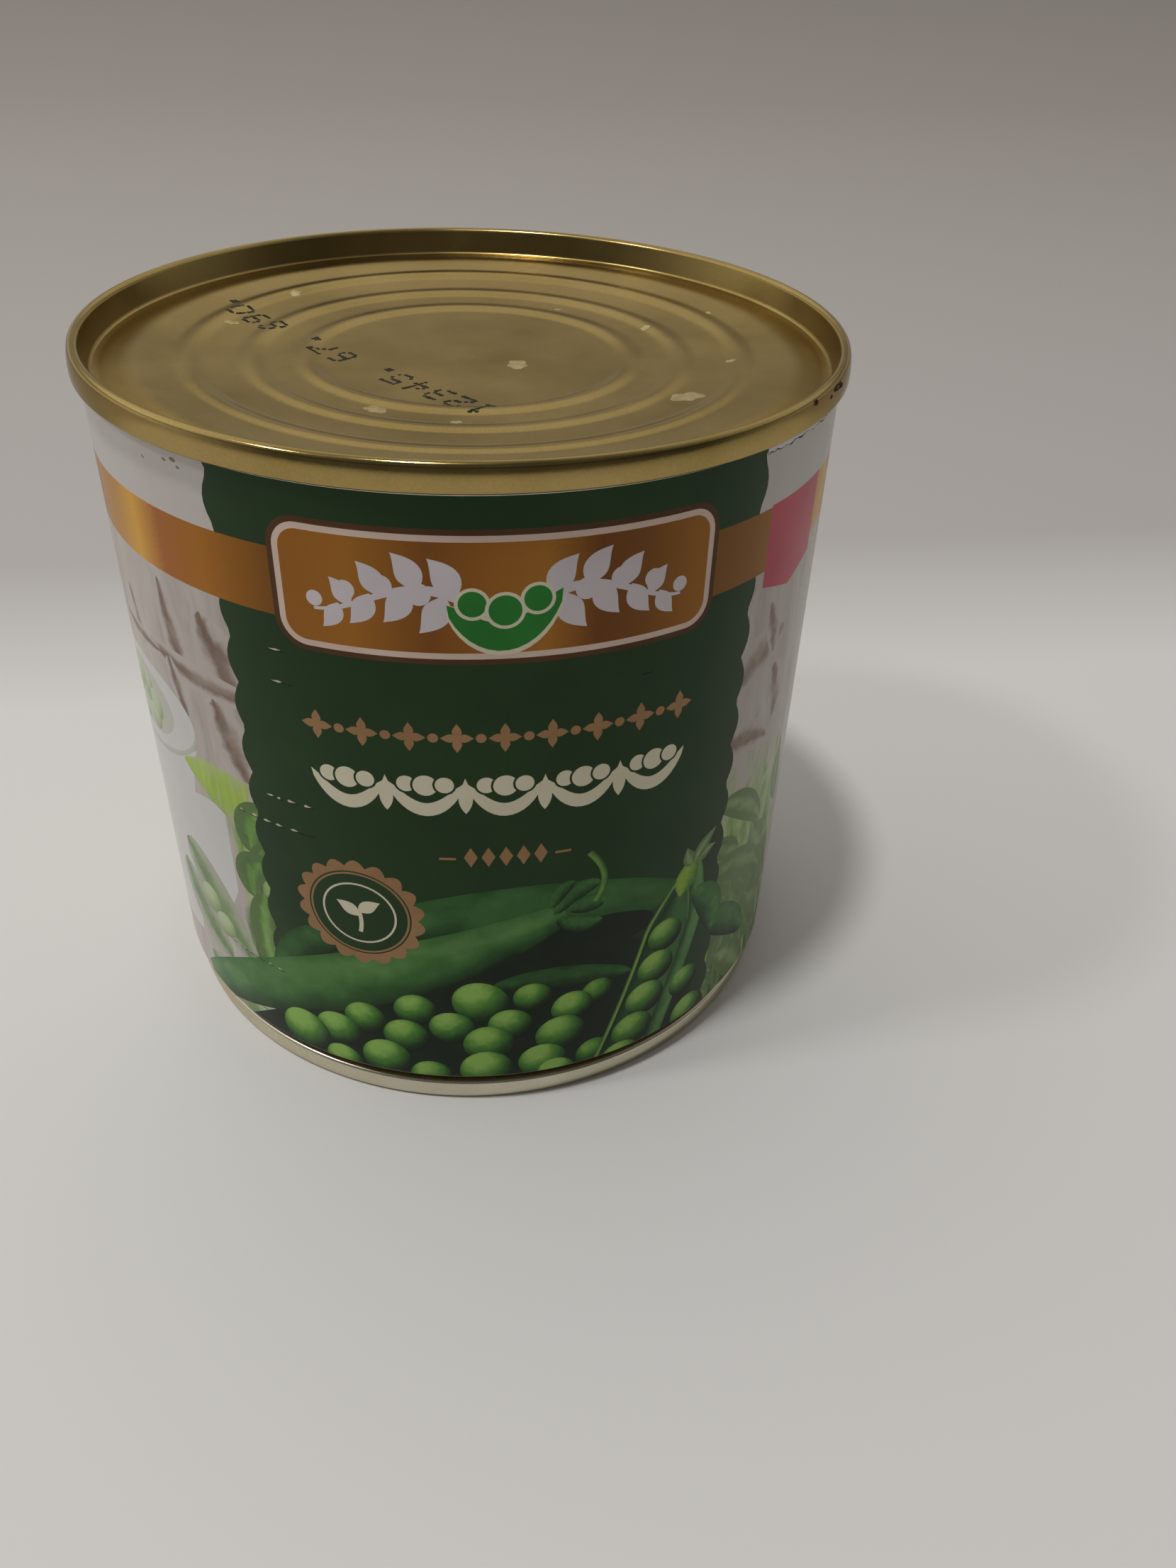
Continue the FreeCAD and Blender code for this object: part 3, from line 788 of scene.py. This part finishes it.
def roll_up(name):
    """The sheet as a mesh, where each face has the ink that was printed last on it."""
    points, edges, faces = [], [], []

    def outline_of(places):
        first = len(points)
        points.extend(Vector(place) for place in places)
        return list(range(first, len(points)))

    for _, outline, _, _ in painted:
        faces.append(outline_of(outline))
    for path in guides:
        line = outline_of(path)
        edges.extend(zip(line, line[1:]))
    columns, row_pitch = 176, 7
    for column in range(1, columns):
        s = sheet_left + circumference * column / columns
        edges.append(outline_of([(s, wall_foot), (s, wall_top)]))
    bends = [foot_round_start, foot_round_end, full_wall_start]
    bends += [foot_round_start + 0.4 * (foot_round_end - foot_round_start)]
    bends += [slope_end + share * (full_wall_start - slope_end) for share in (0.25, 0.5, 0.75)]
    for z in bends + [full_wall_start + row_pitch * row for row in range(1, 11)]:
        edges.append(outline_of([(sheet_left, z), (sheet_seam, z)]))

    # The sheet is cut into triangles that follow every line. Each one knows the
    # outlines it lies in, of which the first is the whole sheet, and shows the last.
    all_triangles, tolerance = 0, 1e-4
    flat, _, triangles, _, _, layers = delaunay_2d_cdt(points, edges, faces, all_triangles, tolerance)
    shown = [(corners, max(layer)) for corners, layer in zip(triangles, layers) if 0 in layer]
    mesh = bpy.data.meshes.new(name)
    mesh.from_pydata([on_wall(*place) for place in flat], [], [corners for corners, _ in shown])
    names = list(inks)
    for ink in names:
        mesh.materials.append(inks[ink])
    tints = mesh.attributes.new("tint", "FLOAT", "FACE")
    maps = {key: mesh.uv_layers.new(name=key) for key in ("Sheet", "Motif", "OFBake")}
    # In the OFBake map the sheet lies in two rows, one over the other.
    rows = 2
    row_length = circumference / rows
    for face, (corners, layer) in zip(mesh.polygons, shown):
        ink, _, motif, tint = painted[layer]
        face.material_index = names.index(ink)
        tints.data[face.index].value = tint
        middle = sum(flat[corner].x for corner in corners) / 3
        row = min(int((middle - sheet_left) / row_length), rows - 1)
        for loop, corner in zip(face.loop_indices, corners):
            s, z = flat[corner]
            maps["Sheet"].data[loop].uv = (s, z)
            maps["Motif"].data[loop].uv = motif(s, z) if motif else (0.0, 0.0)
            maps["OFBake"].data[loop].uv = ((s - sheet_left - row * row_length) / (rows * wall_top),
                                            (z + row * wall_top) / (rows * wall_top))
    mesh.polygons.foreach_set("use_smooth", [True] * len(mesh.polygons))
    normals = []
    step = 0.01
    for s, z in flat:
        fall = (wall_radius_at(z + step) - wall_radius_at(z - step)) / (2 * step)
        angle = s / wall_radius
        normals.append(Vector((math.sin(angle), -math.cos(angle), -fall)).normalized())
    mesh.normals_split_custom_set_from_vertices(normals)
    return set_out(name, mesh)


printed_wall = roll_up("printed_wall")
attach(printed_wall, "root")
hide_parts("can_body")

# ---------------------------------------------------------------------------
# The side weld.
# The edges of the sheet overlap by half a millimetre and are welded into a
# narrow grey line between the two unprinted margins. It is at the can's back.
# ---------------------------------------------------------------------------

weld_width = 0.7
weld_lift = 0.12
weld_sink = 0.01

# Places across the weld, in its widths, and how far it has risen there.
shape = bmesh.new()
across = [(-0.5, 0.0), (-0.35, 0.8), (0.0, 1.0), (0.35, 0.8), (0.5, 0.0)]
heights = [full_wall_start + (wall_top - full_wall_start) * i / 120 for i in range(121)]
rows = []
for z in heights:
    middle = sheet_seam + 0.04 * math.sin(z * 2.3) + 0.03 * math.sin(z * 5.1)
    rows.append([shape.verts.new(on_wall(middle + share * weld_width, z, weld_lift * rise - weld_sink))
                 for share, rise in across])
for low, high in zip(rows, rows[1:]):
    for i in range(len(across) - 1):
        shape.faces.new((low[i], low[i + 1], high[i + 1], high[i])).smooth = True
side_weld = set_out("side_weld", shape)

# Weld-blued steel: grey with a brown cast, in short ripples 0.8 mm apart.
weld_steel, tree, shader = surface("weld-blued steel", 0.45, metallic=1.0)
place = add(tree, "ShaderNodeTexCoord")
ripple = add(tree, "ShaderNodeTexWave",
             {"Vector": place.outputs["Object"], "Scale": 1 / (0.8 * MM) / 20, "Distortion": 1.5},
             bands_direction="Z")
colour = add(tree, "ShaderNodeValToRGB", {"Fac": ripple.outputs["Fac"]},
             stops=[(0.2, "#6F675C"), (0.8, "#8E877B")])
bump = add(tree, "ShaderNodeBump", {"Height": ripple.outputs["Fac"], "Strength": 0.5, "Distance": 0.03 * MM})
tree.links.new(colour.outputs["Color"], shader.inputs["Base Color"])
tree.links.new(bump.outputs["Normal"], shader.inputs["Normal"])
side_weld.data.materials.append(weld_steel)
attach(side_weld, "root")

# ---------------------------------------------------------------------------
# The top end.
# A stamping of gold-lacquered tinplate, folded with the wall into a double
# seam. Its panel has three raised beads and is drawn in by the vacuum.
# ---------------------------------------------------------------------------

rim_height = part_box("top_end")[1].z / MM
top_seam_length = 3.0
seam_thickness = 1.4
seam_overhang = 0.9
seam_lip_round = 0.5
wall_gauge = 0.2
chuck_wall_draft = 0.4
countersink_depth = 3.2
countersink_land = 0.8
countersink_round = 0.45
shoulder_width = 3.5
panel_depth = 2.8
panel_dish = 1.6
plug_depth = 4.9
bead_insets = (5.8, 6.9, 5.9)
bead_width = 3.2
bead_height = 0.22

# The outer face of a seam swells from under its crest down to two thirds of its
# length, and is straight from there to its lip.
seam_face_start = 0.45
seam_widest = 2.0
seam_swell = 0.2
seam_swell_reach = 1.5


def seam_face_at(outside, depth):
    """Radius of the swollen part of a seam's outer face, at a depth below its rim."""
    return outside - seam_swell * ((seam_widest - depth) / seam_swell_reach) ** 2


def panel_depth_at(radius, shoulder):
    """Depth of the dished panel with its beads and of the ring round it.

    It is eased where the two meet, and a bead runs out softly into the panel.
    """
    panel = panel_depth + panel_dish * (1 - (radius / shoulder) ** 3)
    ring = panel_depth + (countersink_depth - panel_depth) * (radius - shoulder) / shoulder_width
    ease = 0.24
    share = min(max(0.5 + (panel - ring) / (2 * ease), 0.0), 1.0)
    depth = ring + share * (panel - ring) + ease * share * (1 - share)
    crest = shoulder
    for inset in bead_insets:
        crest -= inset
        offset = abs(radius - crest) / (bead_width / 2)
        if offset < 1:
            depth -= bead_height * math.cos(math.pi / 2 * offset) ** 1.6
    return min(depth, panel_depth + panel_dish)


def arc(centre_r, centre_d, radius, first, last, steps):
    """Places on an arc; the angles are in degrees from outwards, turning up."""
    return [(centre_r + radius * math.cos(math.radians(first + (last - first) * i / steps)),
             centre_d - radius * math.sin(math.radians(first + (last - first) * i / steps)))
            for i in range(steps + 1)]


def end_profile(wall, seam_length):
    """Half section of an end as (radius, depth) from its rim, from the middle outwards."""
    outside = wall + seam_overhang
    wall_foot_radius = outside - seam_thickness - chuck_wall_draft
    land_start = wall_foot_radius - countersink_land
    shoulder = land_start - shoulder_width
    steps = 104
    places = [(land_start * i / steps, panel_depth_at(land_start * i / steps, shoulder))
              for i in range(steps + 1)]
    places += arc(wall_foot_radius - countersink_round, countersink_depth - countersink_round,
                  countersink_round, -90, -8, 6)

    # The arc of the crest runs into the swollen face at the face's own lean.
    face_lean = math.atan(2 * seam_swell * (seam_widest - seam_face_start) / seam_swell_reach ** 2)
    crest_round = seam_face_start / (1 - math.sin(face_lean))
    face = [(seam_face_at(outside, depth), depth)
            for depth in (seam_face_start + (seam_widest - seam_face_start) * i / 10 for i in range(11))]
    crest_centre = face[0][0] - crest_round * math.cos(face_lean)
    places += arc(crest_centre, crest_round, crest_round, 172, math.degrees(face_lean), 14)
    places += face[1:]
    places += arc(outside - seam_lip_round, seam_length - seam_lip_round, seam_lip_round, 0, -90, 7)
    places += [(wall + 0.02, seam_length), (wall - wall_gauge, seam_length),
               (wall - wall_gauge, plug_depth), (0.0, plug_depth)]
    return places


def turned_end(name, wall, rim, direction, seam_length, segments=288):
    """An end turned round the can's axis; direction is 1 where its rim points down."""
    shape = bmesh.new()
    rings = []
    for radius, depth in end_profile(wall, seam_length):
        z = rim + direction * depth
        if radius == 0.0:
            rings.append([shape.verts.new(Vector((0, 0, z)) * MM)])
            continue
        ring = []
        for i in range(segments):
            angle = 2 * math.pi * i / segments
            place = Vector((radius * math.cos(angle), radius * math.sin(angle), z))
            ring.append(shape.verts.new(place * MM))
        rings.append(ring)
    for inner, outer in zip(rings, rings[1:]):
        for i in range(segments):
            j = (i + 1) % segments
            corners = [inner[i % len(inner)], outer[i % len(outer)],
                       outer[j % len(outer)], inner[j % len(inner)]]
            shape.faces.new(list(dict.fromkeys(corners))).smooth = True
    bmesh.ops.recalc_face_normals(shape, faces=shape.faces)
    return set_out(name, shape)


def lacquered_tinplate(name, wall, light, dark, glancing, roughness, coat):
    """Stoved lacquer over tin: a satin metal, clouded over some 12 mm, with a fine grain.

    The ring outside the panel is darker: painted shade for the dark reflections
    there. The seaming rolls have polished the seam's outer face. The grain is 0.3 mm wide.
    """
    material, tree, shader = surface(name, roughness, metallic=1.0)
    shader.inputs["Specular Tint"].default_value = linear(glancing)
    shader.inputs["Coat Weight"].default_value = coat
    shader.inputs["Coat Roughness"].default_value = 0.25
    place = add(tree, "ShaderNodeTexCoord")
    cloud = add(tree, "ShaderNodeTexNoise",
                {"Vector": place.outputs["Object"], "Scale": 1 / (12 * MM), "Detail": 4.0})
    grain = add(tree, "ShaderNodeTexNoise",
                {"Vector": place.outputs["Object"], "Scale": 1 / (0.3 * MM), "Detail": 2.0})
    speckled = add(tree, "ShaderNodeMath", {0: grain, 1: 0.45, 2: cloud}, operation="MULTIPLY_ADD")
    tone = add(tree, "ShaderNodeValToRGB", {"Fac": speckled}, stops=[(0.5, dark), (0.95, light)])

    flat = add(tree, "ShaderNodeVectorMath", {0: place.outputs["Object"], 1: (1.0, 1.0, 0.0)},
               operation="MULTIPLY")
    radius = add(tree, "ShaderNodeVectorMath", {0: flat}, operation="LENGTH")
    # Painted shade: the base colour is darkened in the ring outside the panel, for the dark reflections near
    # the chuck wall.
    inwards = add(tree, "ShaderNodeMapRange",
                  {"Value": radius, "From Min": (wall - 6.4) * MM, "From Max": (wall + 1.6) * MM})
    painted_ring_shade = add(tree, "ShaderNodeValToRGB", {"Fac": inwards}, stops=[
        (0.1, "#FFFFFF"), (0.31, "#E2D9C0"), (0.52, "#DCD3B8"), (0.58, "#FFFFFF")])
    colour = add(tree, "ShaderNodeMix",
                 {"Factor": 1.0, "A": tone, "B": painted_ring_shade},
                 data_type="RGBA", blend_type="MULTIPLY")
    tree.links.new(colour.outputs["Result"], shader.inputs["Base Color"])
    dulled = add(tree, "ShaderNodeMapRange", {"Value": cloud, "From Min": 0.3, "From Max": 0.7,
                                              "To Min": roughness - 0.03, "To Max": roughness + 0.04})
    rolled = add(tree, "ShaderNodeMapRange", {"Value": radius, "From Min": (wall - 0.6) * MM,
                                              "From Max": (wall + 0.4) * MM, "To Min": 0.0, "To Max": -0.09})
    polished = add(tree, "ShaderNodeMath", {0: dulled, 1: rolled}, operation="ADD")
    tree.links.new(polished.outputs["Value"], shader.inputs["Roughness"])
    bump = add(tree, "ShaderNodeBump", {"Height": grain, "Strength": 0.5, "Distance": 0.006 * MM})
    tree.links.new(bump.outputs["Normal"], shader.inputs["Normal"])
    return material


top_end_skin = turned_end("lacquered_top_end", wall_radius, rim_height, -1, top_seam_length)
top_end_skin.data.materials.append(
    lacquered_tinplate("gold-lacquered tinplate", wall_radius, "#B0985F", "#9B854C", "#D6D0C2", 0.24, 0.16))
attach(top_end_skin, "root")
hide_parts("top_end")

# ---------------------------------------------------------------------------
# What lies on the top end.
# An ink-jet row of plain digits, each drawn in dots of black ink, some drops
# of brine that have dried on the lacquer, and a few specks of rust on the rim.
# ---------------------------------------------------------------------------

seam_outside = wall_radius + seam_overhang
top_shoulder = seam_outside - seam_thickness - chuck_wall_draft - countersink_land - shoulder_width


def on_lid(x, y, lift):
    """A place on the top end's panel or lifted off it, in metres."""
    return Vector((x, y, rim_height - panel_depth_at(math.hypot(x, y), top_shoulder) + lift)) * MM


# The dots of each digit, row by row from its top.
digit_rows = {
    "0": "01110 10001 10001 10001 10001 10001 01110",
    "1": "00100 01100 00100 00100 00100 00100 01110",
    "2": "01110 10001 00001 00110 01000 10000 11111",
    "3": "11110 00001 00001 01110 00001 00001 11110",
    "4": "00010 00110 01010 10010 11111 00010 00010",
    "5": "11111 10000 11110 00001 00001 10001 01110",
    "6": "01110 10000 10000 11110 10001 10001 01110",
    "7": "11111 00001 00010 00100 01000 01000 01000",
    "8": "01110 10001 10001 01110 10001 10001 01110",
    "9": "01110 10001 10001 01111 00001 00001 01110",
    ".": "00000 00000 00000 00000 00000 01100 01100",
}
code = "12345. 67. 890."
dot_pitch = 0.5
column_share = 0.95
dot_radius = 0.26
dot_corners = 10
dot_drift = 0.05
missed_share = 0.03
ink_lift = 0.012
code_start = Vector((1.6, -18.2))
reading = Vector((-0.62, 0.785)).normalized()
upward = Vector((-reading.y, reading.x))
digit_pitch = 3.3
top_row = 6

shape = bmesh.new()
for index, digit in enumerate(code):
    if digit == " ":
        continue
    for row, dots in enumerate(digit_rows[digit].split()):
        for column, dot in enumerate(dots):
            if dot == "0" or chance.random() < missed_share:
                continue
            along_row = index * digit_pitch + column * dot_pitch * column_share
            along_row += chance.uniform(-dot_drift, dot_drift)
            up_row = (top_row - row) * dot_pitch + chance.uniform(-dot_drift, dot_drift)
            middle = code_start + reading * along_row + upward * up_row
            reach = dot_radius * chance.uniform(0.8, 1.2)
            corners = [on_lid(middle.x + reach * math.cos(a), middle.y + reach * math.sin(a), ink_lift)
                       for a in (2 * math.pi * i / dot_corners for i in range(dot_corners))]
            shape.faces.new([shape.verts.new(corner) for corner in corners])
ink_jet_digits = set_out("ink_jet_digits", shape)

# Ink-jet ink: a thin black that lets a little of the gold through.
jet_ink, tree, shader = surface("ink-jet ink", 0.6)
shader.inputs["Specular IOR Level"].default_value = 0.15
place = add(tree, "ShaderNodeTexCoord")
thin = add(tree, "ShaderNodeTexNoise", {"Vector": place.outputs["Object"], "Scale": 1 / (2.0 * MM)})
colour = add(tree, "ShaderNodeValToRGB", {"Fac": thin}, stops=[(0.35, "#0E0C08"), (0.7, "#241F14")])
tree.links.new(colour.outputs["Color"], shader.inputs["Base Color"])
ink_jet_digits.data.materials.append(jet_ink)
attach(ink_jet_digits, "root")

# Where each drop dried, and half its width, in millimetres. The film is a little
# thicker towards its middle.
film_edge = 0.004
film_rise = 0.02
drops = [(5.2, -3.6, 1.3), (22.0, -17.0, 1.6), (-10.9, -18.0, 1.1), (-27.4, 10.9, 0.7), (-20.5, 22.5, 0.7),
         (-2.9, -22.2, 0.5), (22.2, 8.1, 0.6), (12.5, 17.0, 0.4), (29.5, -6.0, 0.5), (31.0, 12.0, 0.4)]
shape = bmesh.new()
for x, y, size in drops:
    spokes = 22
    phase = chance.uniform(0, 6.28)
    reaches = [size * (1 + 0.2 * math.sin(2 * a + phase) + 0.13 * math.sin(5 * a + 2 * phase))
               for a in (2 * math.pi * i / spokes for i in range(spokes))]
    rings = []
    for share, rise in ((1.0, 0.0), (0.9, 0.5), (0.72, 0.75), (0.4, 0.85)):
        ring = []
        for i, reach in enumerate(reaches):
            a = 2 * math.pi * i / spokes
            place = on_lid(x + share * reach * math.cos(a), y + share * reach * math.sin(a),
                           film_edge + film_rise * rise)
            ring.append(shape.verts.new(place))
        rings.append(ring)
    for outer, inner in zip(rings, rings[1:]):
        for i in range(spokes):
            j = (i + 1) % spokes
            shape.faces.new((outer[i], outer[j], inner[j], inner[i])).smooth = True
    shape.faces.new(rings[-1]).smooth = True
dried_drops = set_out("dried_drops", shape)

# Dried brine: a pale film that dulls the gold under it, clouded over 0.8 mm.
brine, tree, shader = surface("dried brine on lacquer", 0.33, metallic=0.94)
shader.inputs["Specular Tint"].default_value = linear("#DAD3C4")
place = add(tree, "ShaderNodeTexCoord")
film = add(tree, "ShaderNodeTexNoise",
           {"Vector": place.outputs["Object"], "Scale": 1 / (0.8 * MM), "Detail": 3.0})
colour = add(tree, "ShaderNodeValToRGB", {"Fac": film}, stops=[(0.35, "#C0AD79"), (0.65, "#D3C59C")])
tree.links.new(colour.outputs["Color"], shader.inputs["Base Color"])
dried_drops.data.materials.append(brine)
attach(dried_drops, "root")

# Specks of rust on the seam's outer face, where the lacquer is knocked off. Each
# has its turn from the front in radians, its depth below the rim, and half its
# length and height in millimetres.
rust_lift = 0.015
rust_spots = [(0.85, 0.52, 0.55, 0.28), (1.0, 0.75, 1.5, 0.34), (1.032, 1.0, 0.7, 0.25),
              (0.945, 1.1, 0.4, 0.18)]
shape = bmesh.new()
for turn, depth, half_length, half_height in rust_spots:
    spokes = 16
    corners = []
    for i in range(spokes):
        a = 2 * math.pi * i / spokes
        ragged = chance.uniform(0.75, 1.15)
        around = turn + ragged * half_length * math.cos(a) / seam_outside
        down_face = depth + ragged * half_height * math.sin(a)
        radius = seam_face_at(seam_outside, down_face) + rust_lift
        place = Vector((radius * math.sin(around), -radius * math.cos(around), rim_height - down_face))
        corners.append(place * MM)
    shape.faces.new([shape.verts.new(corner) for corner in corners])
rust_speck = set_out("rust_speck", shape)

# Rust: dry and rough, from nearly black to brown in a crust of 0.4 mm grains.
rust, tree, shader = surface("rust on the seam", 0.85)
shader.inputs["Specular IOR Level"].default_value = 0.15
place = add(tree, "ShaderNodeTexCoord")
crust = add(tree, "ShaderNodeTexNoise",
            {"Vector": place.outputs["Object"], "Scale": 1 / (0.4 * MM), "Detail": 4.0})
colour = add(tree, "ShaderNodeValToRGB", {"Fac": crust},
             stops=[(0.35, "#2A170D"), (0.6, "#4C2C18"), (0.75, "#724A2B")])
bump = add(tree, "ShaderNodeBump", {"Height": crust, "Strength": 0.6, "Distance": 0.03 * MM})
tree.links.new(colour.outputs["Color"], shader.inputs["Base Color"])
tree.links.new(bump.outputs["Normal"], shader.inputs["Normal"])
rust_speck.data.materials.append(rust)
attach(rust_speck, "root")

# ---------------------------------------------------------------------------
# The bottom end.
# The same stamping made for the necked foot, in tinplate under lacquer, whose pale colour
# is painted reflection of the white tabletop. Only its double seam shows while the can stands.
# ---------------------------------------------------------------------------

bottom_wall = wall_radius - neck_reduction
bottom_seam_length = 3.1
bottom_end_skin = turned_end("lacquered_bottom_end", bottom_wall, 0.0, 1, bottom_seam_length)
# Painted reflection: the pale champagne colours stand for the white tabletop that the seam reflects.
bottom_end_skin.data.materials.append(
    lacquered_tinplate("lacquered tinplate with painted pale reflection", bottom_wall, "#DDD7C2", "#CAC3AB", "#EDE8D8", 0.36, 0.08))
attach(bottom_end_skin, "root")
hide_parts("bottom_end")

# ---------------------------------------------------------------------------
# The floor, the light and the camera.
# A matt tabletop, four metres wide, in a room that gives soft light from all
# round, with two small lamps over it that cast the can's shadows.
# ---------------------------------------------------------------------------

floor_reach = 2.0
shape = bmesh.new()
bmesh.ops.create_grid(shape, x_segments=8, y_segments=8, size=floor_reach)
floor = set_out("floor", shape)

# Matt white paint, lightest round the can; behind the can it turns greyer
# towards the colour of the backdrop.
floor_paint, tree, shader = surface("matt white tabletop", 0.6)
place = add(tree, "ShaderNodeTexCoord")
parts = add(tree, "ShaderNodeSeparateXYZ", {"Vector": place.outputs["Object"]})
fade = add(tree, "ShaderNodeMapRange", {"Value": parts.outputs["Y"], "From Min": 0.055, "From Max": 0.8})
colour = add(tree, "ShaderNodeValToRGB", {"Fac": fade},
             stops=[(0.0, "#DFDDDA"), (0.08, "#BAB5B1"), (1.0, "#ADA39D")])
tree.links.new(colour.outputs["Color"], shader.inputs["Base Color"])
floor.data.materials.append(floor_paint)

# The room is brightest on its far side and at the left, and dark on the near
# side. Upwards it has a pale wall, a dim band and a bright ceiling that is
# dimmer overhead. The camera sees one plain backdrop in its place.
world = bpy.data.worlds.new("soft room light")
bpy.context.scene.world = world
world.use_nodes = True
tree = world.node_tree
direction = add(tree, "ShaderNodeTexCoord")
parts = add(tree, "ShaderNodeSeparateXYZ", {"Vector": direction.outputs["Generated"]})
height = add(tree, "ShaderNodeValToRGB", {"Fac": parts.outputs["Z"]}, stops=[
    (0.0, "#C0BEBB"), (0.14, "#CFCDCA"), (0.25, "#8F8E8A"), (0.33, "#8F8D89"),
    (0.41, "#F0EDE9"), (0.6, "#E2DFDB"), (0.8, "#DAD7D3"), (0.93, "#A3A19E"), (1.0, "#959390")])
far_side = add(tree, "ShaderNodeMapRange",
               {"Value": parts.outputs["Y"], "From Min": -0.6, "From Max": 0.5,
                "To Min": 0.14, "To Max": 1.0},
               interpolation_type="SMOOTHSTEP")
left_side = add(tree, "ShaderNodeMapRange",
                {"Value": parts.outputs["X"], "From Min": -0.9, "From Max": 0.9,
                 "To Min": 1.35, "To Max": 0.66})
level_light = add(tree, "ShaderNodeMath", {0: far_side, 1: left_side}, operation="MULTIPLY")
room = add(tree, "ShaderNodeMix",
           {"Factor": 1.0, "A": height, "B": level_light},
           data_type="RGBA", blend_type="MULTIPLY")
seen = add(tree, "ShaderNodeLightPath")
backdrop = add(tree, "ShaderNodeMix",
               {"Factor": seen.outputs["Is Camera Ray"], "A": room, "B": linear("#A0948D")},
               data_type="RGBA")
tree.links.new(backdrop.outputs["Result"], tree.nodes["Background"].inputs["Color"])

# A lamp nearly overhead, a little to the front left, casts the near shadow, and
# a weaker one farther left the wide faint one. Sizes in metres, power in watts.
can_middle = Vector((0, 0, 0.04))
for lamp_name, lamp_place, lamp_size, lamp_power in (
        ("high lamp", Vector((-0.28, -0.22, 1.39)), 0.13, 6.6),
        ("low lamp", Vector((-0.74, -0.13, 1.01)), 0.14, 2.0)):
    lamp = bpy.data.lights.new(lamp_name, "AREA")
    lamp.shape = "DISK"
    lamp.size = lamp_size
    lamp.energy = lamp_power
    lamp_object = set_out(lamp_name, lamp)
    lamp_object.location = lamp_place
    lamp_object.rotation_mode = "QUATERNION"
    lamp_object.rotation_quaternion = (can_middle - lamp_place).to_track_quat("-Z", "Y")

# The camera looks down on the can from the front, a little from the left. Its
# turn, tilt and roll are in radians.
camera_place = Vector((-9.3, -144.6, 126.2)) * MM
camera_turn = 0.1734
camera_tilt = 0.6366
camera_roll = -0.0421
forward = Vector((math.sin(camera_turn) * math.cos(camera_tilt),
                  math.cos(camera_turn) * math.cos(camera_tilt),
                  -math.sin(camera_tilt)))
level = Vector((math.cos(camera_turn), -math.sin(camera_turn), 0))
down = forward.cross(level)
right = math.cos(camera_roll) * level + math.sin(camera_roll) * down
below = -math.sin(camera_roll) * level + math.cos(camera_roll) * down

camera = bpy.data.cameras.new("camera")
camera.sensor_width = 36
camera.lens = 28.39
camera.clip_start = 0.01
camera_object = set_out("camera", camera)
camera_object.matrix_world = Matrix((
    (right.x, -below.x, -forward.x, camera_place.x),
    (right.y, -below.y, -forward.y, camera_place.y),
    (right.z, -below.z, -forward.z, camera_place.z),
    (0, 0, 0, 1)))
bpy.context.scene.camera = camera_object
bpy.context.scene.view_settings.view_transform = "Standard"
